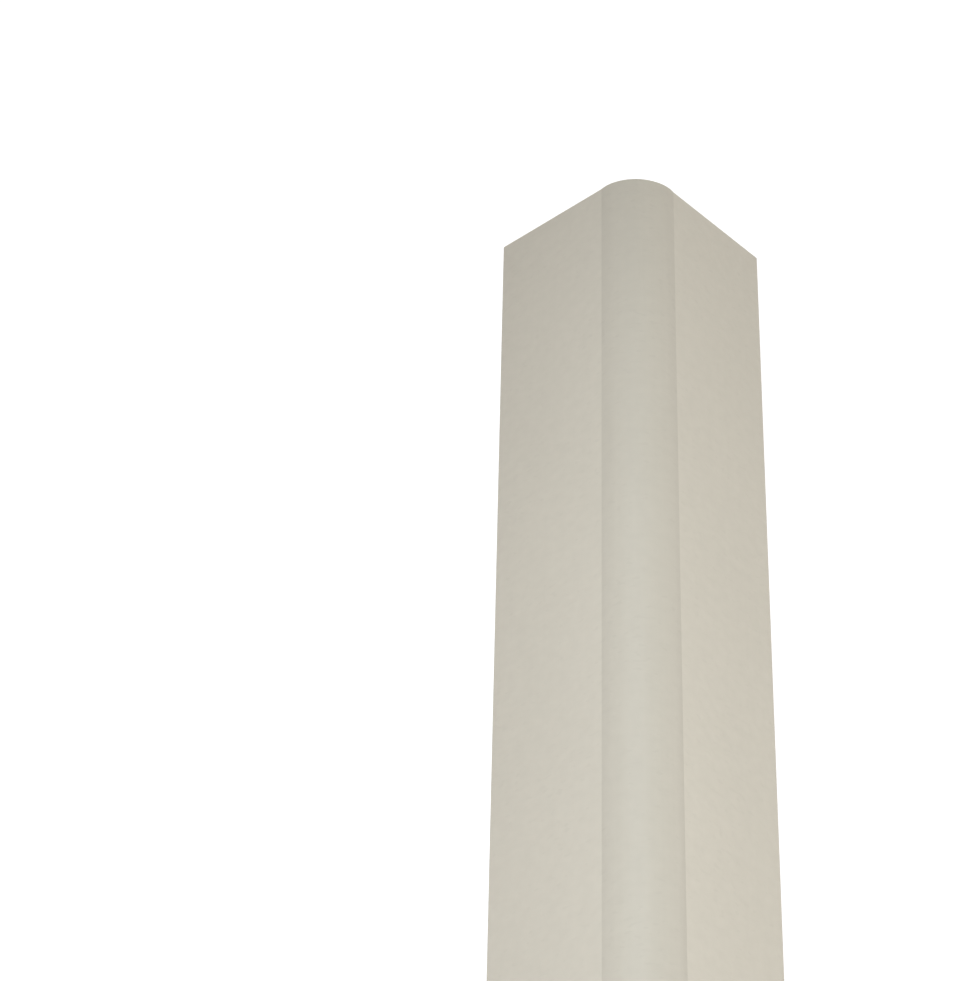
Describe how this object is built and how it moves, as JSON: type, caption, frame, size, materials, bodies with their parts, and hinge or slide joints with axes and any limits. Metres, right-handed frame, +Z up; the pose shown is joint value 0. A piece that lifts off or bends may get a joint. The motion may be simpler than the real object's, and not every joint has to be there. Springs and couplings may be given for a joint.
{
  "type": "corner guard moulding",
  "caption": "Rigid vinyl corner guard moulding: a right-angle extrusion with two flat wings and a rounded nose, cut square, that shields a wall's outside corner from knocks.",
  "frame": {"origin": "centre of the footprint on the floor, with the guard lying nose up on its wing edges", "axes": "+Y along the stock, towards the end that the picture shows; +Z up through the nose; X across the wings"},
  "size_m": [0.1072, 1.2192, 0.0471],
  "materials": {
    "vinyl": "matte"
  },
  "bodies": {
    "root": {"corner_guard": "vinyl"}
  },
  "joints": []
}
